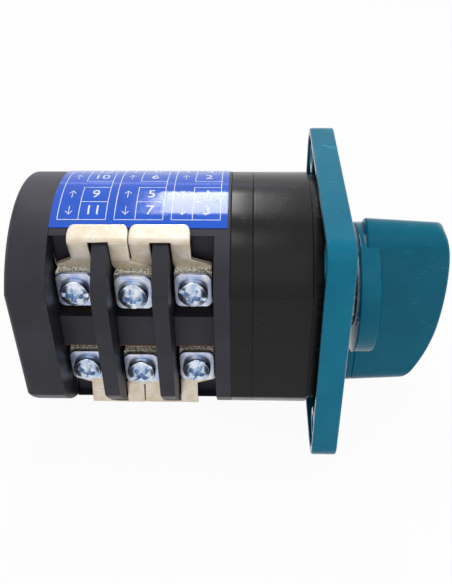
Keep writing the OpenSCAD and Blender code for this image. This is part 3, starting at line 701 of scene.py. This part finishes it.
HEAD_D = 7.0
HEAD_H = 2.6
SHANK_D = 3.5
SHANK_END = 10.4
RECESS_W = 1.15
RECESS_L = 4.2
RECESS_DEPTH = 1.5
WASHER_T = 1.1
CLAMP_T = 2.0
TERMINAL_W = 8.7
TERMINAL_H = 9.2
ROW_Z = 11.9
STRIP_U = span("fixed_contacts_1")[1][0]
FOOT_PITCH = 0.96
FEET_LEFT = (1, 2, 1)
RIB_T = 3.7
SECTION_PITCH = SECTION_Y[1] - SECTION_Y[0]
TERMINAL_Y = [y + RIB_T + (SECTION_PITCH - RIB_T) / 2 for y in SECTION_Y]


def terminals():
    """Side, row, section and distance of the clamp plate from the axis, for all 12 terminals."""
    for side in (-1, 1):
        for k in range(3):
            for row in (1, -1):
                feet = FEET_LEFT[k] if side < 0 else 0
                yield side, row, k, STRIP_U + feet * FOOT_PITCH


def cross(width, length):
    """Outline of an upright cross with short rounded corners."""
    w, r = width / 2, length / 2
    quarter = [(r, -w, 0.12), (r, w, 0.12), (w, w, 0.1)]
    corners = []
    for turn in range(4):
        c, s = ((1, 0), (0, 1), (-1, 0), (0, -1))[turn]
        corners += [(a * c - b * s, a * s + b * c, radius) for a, b, radius in quarter]
    return outline(corners, 45)


def screw_head():
    """Pan head with a full-width slot and a tapered cross: the head is a turned profile, the
    recess a cross whose outline draws in with its depth."""
    side, dome, roll = 1.46, HEAD_D * 0.85, 0.45
    spread = np.linspace(0, 1, 12)[::-1] * (HEAD_D / 2 - roll)
    top = HEAD_H - dome + np.sqrt(dome ** 2 - spread ** 2)
    bend = np.linspace(0, math.pi / 2, 5)[1:-1]
    shoulder = [(HEAD_D / 2 - roll + roll * math.cos(a),
                 side - 0.2 + (top[0] - side + 0.2) * math.sin(a)) for a in bend]
    profile = [(0, 0), (HEAD_D / 2 - 0.12, 0), (HEAD_D / 2, 0.14), (HEAD_D / 2, side - 0.2)]
    profile += shoulder + list(zip(spread, top))
    head = cleaned(mesh_object("head_tool", *turned(profile, 72)))
    slot = slab(rectangle(HEAD_D * 1.4, RECESS_W, 0.02), HEAD_H - 1.0, HEAD_H + 1, 0.01)
    carved(head, mesh_object("slot_tool", *slot))
    levels = [(1.0, 0), (-0.35, 0), (-RECESS_DEPTH, 0.2), (-RECESS_DEPTH - 0.25, 0.34)]
    rings = [at_height(cross(RECESS_W * 1.12 - drawn, RECESS_L - 2 * drawn), HEAD_H + rise)
             for rise, drawn in levels]
    carved(head, mesh_object("cross_tool", *lofted(np.array(rings))))
    cleaned(rounded(head, 0.07, 2, 40))
    points = np.array([vertex.co for vertex in head.data.vertices]) / MM
    faces = [list(face.vertices) for face in head.data.polygons]
    bpy.data.objects.remove(head)
    return points, faces


def turned_by(part, degrees):
    """Part turned about its height."""
    c, s = math.cos(math.radians(degrees)), math.sin(math.radians(degrees))
    return moved(part, lambda points: points @ np.array([[c, s, 0], [-s, c, 0], [0, 0, 1]]))


def raised(part, height):
    """Part shifted along its height."""
    return moved(part, lambda points: points + (0, 0, height))


def terminal_screws():
    """Twelve screws, each stopped at its own turn."""
    head = screw_head()
    stops = (24, 62, 88, 42, 4, 65, 15, 120, 75, 33, 100, 51)
    parts = []
    for stop, (side, row, k, u) in zip(stops, terminals()):
        seat = u + CLAMP_T + WASHER_T
        shank = turned([(0, SHANK_END), (SHANK_D / 2 - 0.4, SHANK_END),
                        (SHANK_D / 2, SHANK_END + 0.5),
                        (SHANK_D / 2, seat + 0.1), (0, seat + 0.1)], 32)
        whole = joined([raised(turned_by(head, stop), seat), shank])
        parts.append(moved(whole, out_of(side, row, TERMINAL_Y[k], ROW_Z)))
    screws = cleaned(mesh_object("terminal_screw_set", *joined(parts)), 38)
    finished(screws, BODY, "screw_zinc", ["terminal_screws"])


def square_washers():
    """Flat washers with round corners and a hole for the shank."""
    plain = rectangle(TERMINAL_W, TERMINAL_H, 1.6)
    parts = []
    for side, row, k, u in terminals():
        low = u + CLAMP_T
        ring = pierced(plain, SHANK_D / 2 + 0.1, low, low + WASHER_T, 0.16)
        parts.append(moved(ring, out_of(side, row, TERMINAL_Y[k], ROW_Z)))
    washers = cleaned(mesh_object("square_washer_set", *joined(parts)))
    finished(washers, BODY, "screw_zinc", ["square_washers"], "washer_zinc")


def toothed(height, pitch=0.62, depth=0.26):
    """Outline of a clamp plate at one height: its upper and lower sides are cut by a triangle
    wave, whose phase and depth change with the height so that the teeth stand in two rows."""
    along = np.linspace(-1, 1, 57) * TERMINAL_W / 2
    share, teeth_end = height / CLAMP_T, 0.72
    row_depth = depth * abs(math.sin(share / teeth_end * 2 * math.pi)) + 0.03
    wave = np.abs((along / pitch + (0.5 if share > teeth_end / 2 else 0)) % 1 - 0.5) * 2
    edge = TERMINAL_H / 2 - np.where(share > 0.75, 0.9, wave * row_depth)
    edge[[0, -1]] = TERMINAL_H / 2 - 0.3
    side = np.linspace(-0.96, 0.96, 9) * (TERMINAL_H / 2 - 0.3)
    right = np.column_stack([np.full(9, TERMINAL_W / 2), side])
    return np.concatenate([np.column_stack([along[::-1], edge[::-1]]), right[::-1] * (-1, 1),
                           np.column_stack([along, -edge]), right])


def clamp_plates():
    """Clamp plates whose edges are pressed into two rows of small teeth."""
    levels = np.array([0, 0.05, 0.11, 0.18, 0.25, 0.31, 0.36, 0.41, 0.47, 0.54, 0.61, 0.67, 0.72,
                       0.76, 1]) * CLAMP_T
    rings = [at_height(toothed(height), height) for height in levels]
    hole = unit(rings[0][:, :2]) * (SHANK_D / 2 + 0.1)
    rings += [at_height(hole, CLAMP_T), at_height(hole, 0)]
    rings = np.array(rings)
    plate = rings.reshape(-1, 3), quads(len(rings), rings.shape[1], close_rows=True)
    parts = [moved(raised(plate, u), out_of(side, row, TERMINAL_Y[k], ROW_Z))
             for side, row, k, u in terminals()]
    plates = cleaned(mesh_object("clamp_plate_set", *joined(parts)), 25)
    finished(plates, BODY, "clamp_zinc", ["clamp_plates"])


# Jumpers

JUMPER_T = 0.9
JUMPER_SLOT = 4.7
JUMPER_LEGS = (4.4, 4.7)
JUMPER_CORNER = 1.2
FOOT_Z0 = 7.2
FOOT_BEND_Z = ROW_Z + TERMINAL_H / 2 + 0.15
KNEE_RISE = 3.2
BEND_R = 1.1
SHELL_T = 4.35
BEND_Z = BARREL_R - SHELL_T - 0.05
BEND_GAP = 0.5


def bent_path(corners, radius):
    """Points along a polyline whose inner corners are arcs of the given radius."""
    at = np.array(corners, float)
    points = [at[0]]
    for i in range(1, len(at) - 1):
        before, after = unit(at[i - 1] - at[i]), unit(at[i + 1] - at[i])
        half = math.acos(np.clip(before @ after, -1, 1)) / 2
        reach = min(radius / math.tan(half), 0.45 * np.linalg.norm(at[i + 1] - at[i]),
                    0.45 * np.linalg.norm(at[i - 1] - at[i]))
        share = np.linspace(0, 1, 7)[:, None]
        start, end = at[i] + before * reach, at[i] + after * reach
        points += list((1 - share) ** 2 * start + 2 * share * (1 - share) * at[i]
                       + share ** 2 * end)
    points.append(at[-1])
    return np.array(points)


def jumper_path(node, level):
    """Middle line of a jumper's sheet in (distance from the axis, Z): foot, leaning leg, bend
    and flange. The ends come from the CAD node."""
    low, high = span(node)
    first = STRIP_U + JUMPER_T / 2
    u = first + level * FOOT_PITCH
    top = max(abs(low[2]), abs(high[2]))
    bend_r = BARREL_R + BEND_GAP + JUMPER_T / 2
    bend_u = math.sqrt(bend_r ** 2 - BEND_Z ** 2)
    lean = (bend_u - first) / (BEND_Z - FOOT_BEND_Z)
    knee = FOOT_BEND_Z + KNEE_RISE
    slope = math.radians(90 - math.degrees(math.atan2(BEND_Z, bend_u)) - 6)
    flange = (top - BEND_Z - JUMPER_T / 2 * math.cos(slope)) / math.sin(slope)
    return [(u, FOOT_Z0), (u, FOOT_BEND_Z), (u + lean * (knee - FOOT_BEND_Z), knee),
            (bend_u, BEND_Z),
            (bend_u - flange * math.cos(slope), BEND_Z + flange * math.sin(slope))]


def jumper(node, k, levels, shift, row):
    """Sheet as a grid of (step up the path, place along the switch). Both feet and legs share
    the flange: columns run over the front leg, the slot and the rear leg, and the slot has
    faces only above its upper end. The lower row's feet stay wide for longer."""
    rib = SECTION_Y[k + 1] + RIB_T / 2 + shift
    slot = JUMPER_SLOT / 2
    dense = []
    for level in levels:
        path = bent_path(jumper_path(node, level), BEND_R)
        length = np.r_[0, np.cumsum(np.linalg.norm(np.diff(path, axis=0), axis=1))]
        dense.append((path, length / length[-1]))
    share = np.unique(np.r_[np.linspace(0, 1, 60), dense[0][1], dense[1][1]])
    lines = [np.column_stack([np.interp(share, part, path[:, 0]),
                              np.interp(share, part, path[:, 1])]) for path, part in dense]
    z = lines[0][:, 1]
    flare, taper = (FOOT_BEND_Z + 0.7, 1.9) if row > 0 else (FOOT_BEND_Z + 2.0, 1.1)
    top = z[-1]

    def half(direction, leg, term):
        """Inner and outer edge of one half at every step."""
        inner_foot = term - direction * TERMINAL_W / 2
        outer_foot = term + direction * TERMINAL_W / 2
        inner_leg = rib + direction * slot
        outer_leg = inner_leg + direction * leg
        inner = np.interp(z, [flare - 0.4, flare + 0.6], [inner_foot, inner_leg])
        outer = np.interp(z, [flare, flare + taper], [outer_foot, outer_leg])
        over = np.clip(z - (top - JUMPER_CORNER), 0, JUMPER_CORNER)
        return inner, outer - direction * (JUMPER_CORNER
                                           - np.sqrt(JUMPER_CORNER ** 2 - over ** 2))

    front_in, front_out = half(-1, JUMPER_LEGS[0], TERMINAL_Y[k])
    rear_in, rear_out = half(1, JUMPER_LEGS[1], TERMINAL_Y[k + 1])
    leg_points, slot_points = 7, 6
    across, between = np.linspace(0, 1, leg_points), np.linspace(0, 1, slot_points)[1:-1]
    front = front_out[:, None] + (front_in - front_out)[:, None] * across
    middle = front_in[:, None] + (rear_in - front_in)[:, None] * between
    rear = rear_in[:, None] + (rear_out - rear_in)[:, None] * across
    y = np.concatenate([front, middle, rear], 1)
    blend = np.r_[np.zeros(leg_points), between, np.ones(leg_points)]
    u = lines[0][:, 0, None] * (1 - blend) + lines[1][:, 0, None] * blend
    height = lines[0][:, 1, None] * (1 - blend) + lines[1][:, 1, None] * blend
    points = np.stack([-u, y, row * height], -1)
    rows, columns = y.shape
    web = BEND_Z - 0.5
    faces = []
    for i in range(rows - 1):
        for j in range(columns - 1):
            in_slot = leg_points - 1 <= j < leg_points + slot_points - 2
            if in_slot and z[i] < web:
                continue
            first = i * columns + j
            faces.append([first, first + 1, first + columns + 1, first + columns])
    sheet = cleaned(mesh_object(node + "_sheet", points.reshape(-1, 3), faces))
    with_modifier(sheet, "SOLIDIFY", thickness=JUMPER_T * MM, offset=0.0, use_even_offset=True)
    levelled(cleaned(rounded(cleaned(sheet), 0.12, 2, 50), 40))
    finished(sheet, BODY, "jumper_nickel", [node])


def jumpers():
    """Two jumpers over the ribs in each row of the left side; the rear one's front foot lies on
    the front one's rear foot."""
    for name, row in (("upper", 1), ("lower", -1)):
        jumper(f"jumper_{name}_front", 0, (0, 0), 0.1, row)
        jumper(f"jumper_{name}_rear", 1, (1, 0), 0.3, row)


# Label

LABEL = span("terminal_label")
LABEL_R = LABEL[1][2]
PRINT_T = 0.02
LINE_W = 0.16
DIGIT_H = 2.9
NUMBERS = (("1", "3", "2", "4"), ("5", "7", "6", "8"), ("9", "11", "10", "12"))


def on_barrel(points, radius):
    """Points (along Y, arc length from the top towards -X, height) laid on a cylinder."""
    turn = points[:, 1] / radius
    reach = radius + points[:, 2]
    return np.column_stack([-reach * np.sin(turn), points[:, 0], reach * np.cos(turn)])


def patch(y0, y1, s0, s1, thick, radius):
    """Curved slab between two places along the barrel and two arc lengths."""
    s = np.linspace(s0, s1, max(2, int(abs(s1 - s0) / 0.8) + 2))
    loop = np.concatenate([np.column_stack([s, np.zeros(len(s))]),
                           np.column_stack([s[::-1], np.full(len(s), thick)])])
    rings = np.array([np.column_stack([np.full(len(loop), y), loop]) for y in (y0, y1)])
    return moved(lofted(rings), lambda points: on_barrel(points, radius))


def arrow(y, s, direction):
    """Small plain arrow: a stem and two barbs, pointing to the upper or the lower row."""
    tip = s - direction * 1.3
    stem = patch(y - LINE_W / 2, y + LINE_W / 2, tip, s + direction * 1.3, PRINT_T, LABEL_R)
    barbs = []
    for side in (-1, 1):
        stroke = np.array([[y, tip], [y + side * 0.8, tip + direction * 0.9],
                           [y + side * 0.8, tip + direction * 1.15], [y, tip + direction * 0.25]])
        rings = np.array([at_height(stroke, height) for height in (0, PRINT_T)])
        barbs.append(moved(lofted(rings), lambda points: on_barrel(points, LABEL_R)))
    return joined([stem, *barbs])


def digits(text, y, s):
    """A plain number as a thin solid, cut into strips and laid on the barrel, read from -X."""
    curve = bpy.data.curves.new("digits", "FONT")
    curve.body = text
    curve.size = DIGIT_H / 0.72 * MM
    curve.extrude = PRINT_T / 2 * MM
    curve.align_x, curve.align_y = "CENTER", "CENTER"
    curve.resolution_u = 3
    source = bpy.data.objects.new("digits", curve)
    bpy.context.scene.collection.objects.link(source)
    view = bpy.context.evaluated_depsgraph_get()
    mesh = bpy.data.meshes.new_from_object(source.evaluated_get(view))
    bpy.data.objects.remove(source)
    work = bmesh.new()
    work.from_mesh(mesh)
    for height in np.arange(-DIGIT_H / 2, DIGIT_H / 2, 0.3) * MM:
        bmesh.ops.bisect_plane(work, geom=work.verts[:] + work.edges[:] + work.faces[:],
                               plane_co=(0, height, 0), plane_no=(0, 1, 0))
    work.verts.index_update()
    points = np.array([vertex.co for vertex in work.verts]) / MM
    faces = [[vertex.index for vertex in face.verts] for face in work.faces]
    work.free()
    flat = np.column_stack([y - points[:, 0], s - points[:, 1], points[:, 2] + PRINT_T / 2])
    return on_barrel(flat, LABEL_R), faces


def label():
    """Blue film over the barrel, with a white table of terminal numbers for every section: an
    outer frame over the top, and on each side a box of two rows for the numbers."""
    edge = math.acos(LABEL[0][2] / LABEL_R) * LABEL_R
    film = mesh_object("label_film", *patch(LABEL[0][1], LABEL[1][1], -edge, edge,
                                            LABEL_R - BARREL_R, BARREL_R))
    finished(cleaned(film), BODY, "label_film", ["terminal_label"])
    centre, near, middle, far = -0.45, 1.55, 7.1, 12.55
    front_y, width, column, pitch = 22.5, 11.15, 4.8, 13.1
    lines, marks = [], []

    def line_along(y0, y1, s):
        """Line of the table along the switch."""
        lines.append(patch(y0, y1, s - LINE_W / 2, s + LINE_W / 2, PRINT_T, LABEL_R))

    def line_round(y, s0, s1):
        """Line of the table round the barrel."""
        lines.append(patch(y - LINE_W / 2, y + LINE_W / 2, s0, s1, PRINT_T, LABEL_R))

    for k, numbers in enumerate(NUMBERS):
        y0 = front_y + k * pitch
        y1 = y0 + width
        box = y1 - column
        for y in (y0, y1):
            line_round(y, centre - far, centre + far)
        for side in (1, -1):
            line_along(y0, y1, centre + side * far)
            line_round(box, centre + side * near, centre + side * far)
            line_along(y0, box, centre + side * near)
            line_along(y0, box, centre + side * middle)
            for row in (0, 1):
                s = centre + side * ((near + middle) / 2 if row == 0 else (middle + far) / 2)
                marks.append(digits(numbers[row if side > 0 else row + 2], (y0 + box) / 2, s))
                marks.append(arrow((y1 + box) / 2, s, 1 if row == 0 else -1))
    printed = cleaned(mesh_object("label_print", *joined(lines + marks)), 30)
    finished(printed, BODY, "label_film", [], "print")


# Fasteners and inner pieces

def fasteners():
    """Steel pieces keep their CAD forms and get broken edges."""
    for node, width in (("plate_screws", 0.08), ("thrust_washer", 0.12), ("through_bolts", 0.15),
                        ("bolt_nuts", 0.18), ("retaining_ring", 0.08), ("knob_screw", 0.15),
                        ("fixed_contacts_1", 0.08), ("fixed_contacts_2", 0.08),
                        ("fixed_contacts_3", 0.08), ("insulating_strips", 0.05)):
        softened(node, width)


def carried_over():
    """Every CAD node that still shows gets its finish."""
    for part in frame["record"]["subparts"]:
        node = frame["nodes"][part["node"]]
        if not node.hide_render:
            node.data.materials.clear()
            node.data.materials.append(FINISH[part["material_slot"]])


# Studio

VIEW_AT = Vector((-0.15292, 0.01589, 0.11358))
VIEW_AZIMUTH = 272.26
VIEW_ELEVATION = 37.05
VIEW_ROLL = -0.97
VIEW_LENS = 44.79
LEVEL = math.pi ** 2


def camera():
    """Camera at the photograph's place and angle; the lens is for a 36 mm long side."""
    data = bpy.data.cameras.new("camera")
    data.lens = VIEW_LENS
    data.clip_start = 0.01
    made = bpy.data.objects.new("camera", data)
    bpy.context.scene.collection.objects.link(made)
    turn, lift = math.radians(VIEW_AZIMUTH), math.radians(VIEW_ELEVATION)
    back = Vector((math.sin(turn) * math.cos(lift), -math.cos(turn) * math.cos(lift),
                   math.sin(lift)))
    made.rotation_mode = "QUATERNION"
    made.rotation_quaternion = ((-back).to_track_quat("-Z", "Y")
                                @ Quaternion((0, 0, 1), math.radians(VIEW_ROLL)))
    made.location = VIEW_AT
    bpy.context.scene.camera = made


def softbox(name, tilt_x, tilt_y, distance, size, level, tint=(1, 1, 1)):
    """Rectangular lamp above the switch, tilted off the vertical towards +X and +Y. A level of 1
    alone lights a white surface that faces it to full white."""
    data = bpy.data.lights.new(name, "AREA")
    data.shape = "RECTANGLE"
    data.size, data.size_y = size
    data.energy = level * LEVEL * distance ** 2
    data.color = tint
    lamp = bpy.data.objects.new(name, data)
    lamp.visible_camera = False
    bpy.context.scene.collection.objects.link(lamp)
    way = Vector((math.tan(math.radians(tilt_x)), math.tan(math.radians(tilt_y)), 1)).normalized()
    lamp.location = Vector((0, 0.03, 0)) + way * distance
    lamp.rotation_mode = "QUATERNION"
    lamp.rotation_quaternion = Vector((0, 0, 1)).rotation_difference(way)
    return lamp


def floor():
    """Plain pale floor that the plate's rear edge and the rear cover rest on. The camera, metal
    and glass see it nearly white, and it keeps the switch's shadow."""
    plate_z, cover_z, cover_y = PLATE[0][2], REAR[0][2], REAR[1][1]
    slope = (cover_z - plate_z) / cover_y
    reach = 3000
    corners = [(x, y, plate_z - 0.05 + slope * y) for x, y in
               ((-reach, -reach), (reach, -reach), (reach, reach), (-reach, reach))]
    made = mesh_object("floor", np.array(corners), [[0, 1, 2, 3]])
    finish = Finish("floor_pale", (0.8, 0.8, 0.8, 1), 0.9)
    seen = finish.node("LightPath", output="Is Camera Ray")
    through = finish.node("LightPath", output="Is Transmission Ray")
    glossy = finish.node("LightPath", output="Is Glossy Ray")
    share = finish.math("MAXIMUM", finish.math("MAXIMUM", seen, through), glossy) * 0.95
    white = finish.node("Emission", None, {"Color": (1, 1, 1, 1), "Strength": 1.0})
    mixed = finish.node("MixShader", None,
                        {0: share, 1: Wire(finish, finish.surface.outputs[0]), 2: white})
    finish.tree.links.new(mixed.socket, finish.tree.nodes["Material Output"].inputs["Surface"])
    made.data.materials.append(finish.material)


def world():
    """White where it is seen, directly or in metal and glass, and a plain grey as a light."""
    made = bpy.data.worlds.new("studio")
    made.use_nodes = True
    tree = made.node_tree
    path = tree.nodes.new("ShaderNodeLightPath")
    value = path.outputs["Is Camera Ray"]
    for kind in ("Is Glossy Ray", "Is Transmission Ray"):
        either = tree.nodes.new("ShaderNodeMath")
        either.operation = "MAXIMUM"
        tree.links.new(value, either.inputs[0])
        tree.links.new(path.outputs[kind], either.inputs[1])
        value = either.outputs[0]
    seen = tree.nodes.new("ShaderNodeMath")
    seen.operation = "MULTIPLY_ADD"
    tree.links.new(value, seen.inputs[0])
    seen.inputs[1].default_value = 0.9
    seen.inputs[2].default_value = 0.1
    tree.links.new(seen.outputs[0], tree.nodes["Background"].inputs["Strength"])
    tree.nodes["Background"].inputs["Color"].default_value = (1, 1, 1, 1)
    bpy.context.scene.world = made


def studio():
    """Camera, nine soft boxes, floor and background. fill_top and fill_near don't show in
    reflections."""
    bpy.context.scene.view_settings.view_transform = "Standard"
    camera()
    softbox("softbox_top", 32.5, 4.8, 0.7, (0.37, 0.093), 0.36)
    softbox("softbox_edge", -9, 4.2, 0.7, (0.16, 0.093), 0.06)
    softbox("softbox_rear", 10, 32, 0.9, (0.7, 0.6), 0.04, (0.88, 0.92, 1.0))
    softbox("softbox_side", -35, 0, 0.9, (0.5, 0.8), 0.07)
    softbox("strip_far", 63, 23.4, 0.75, (0.05, 0.42), 0.021, (0.6, 0.6, 1.0))
    softbox("fill_top", 10, -10, 0.9, (0.5, 0.5), 0.24).visible_glossy = False
    softbox("fill_near", -72, -5, 0.9, (0.4, 0.4), 0.32).visible_glossy = False
    softbox("fill_front", 8, -62, 0.9, (0.5, 0.5), 0.22)
    softbox("fill_back", 0, 64, 0.9, (0.5, 0.4), 0.12)
    floor()
    world()


studio()
housings()
knob()
terminal_screws()
square_washers()
clamp_plates()
jumpers()
label()
fasteners()
carried_over()
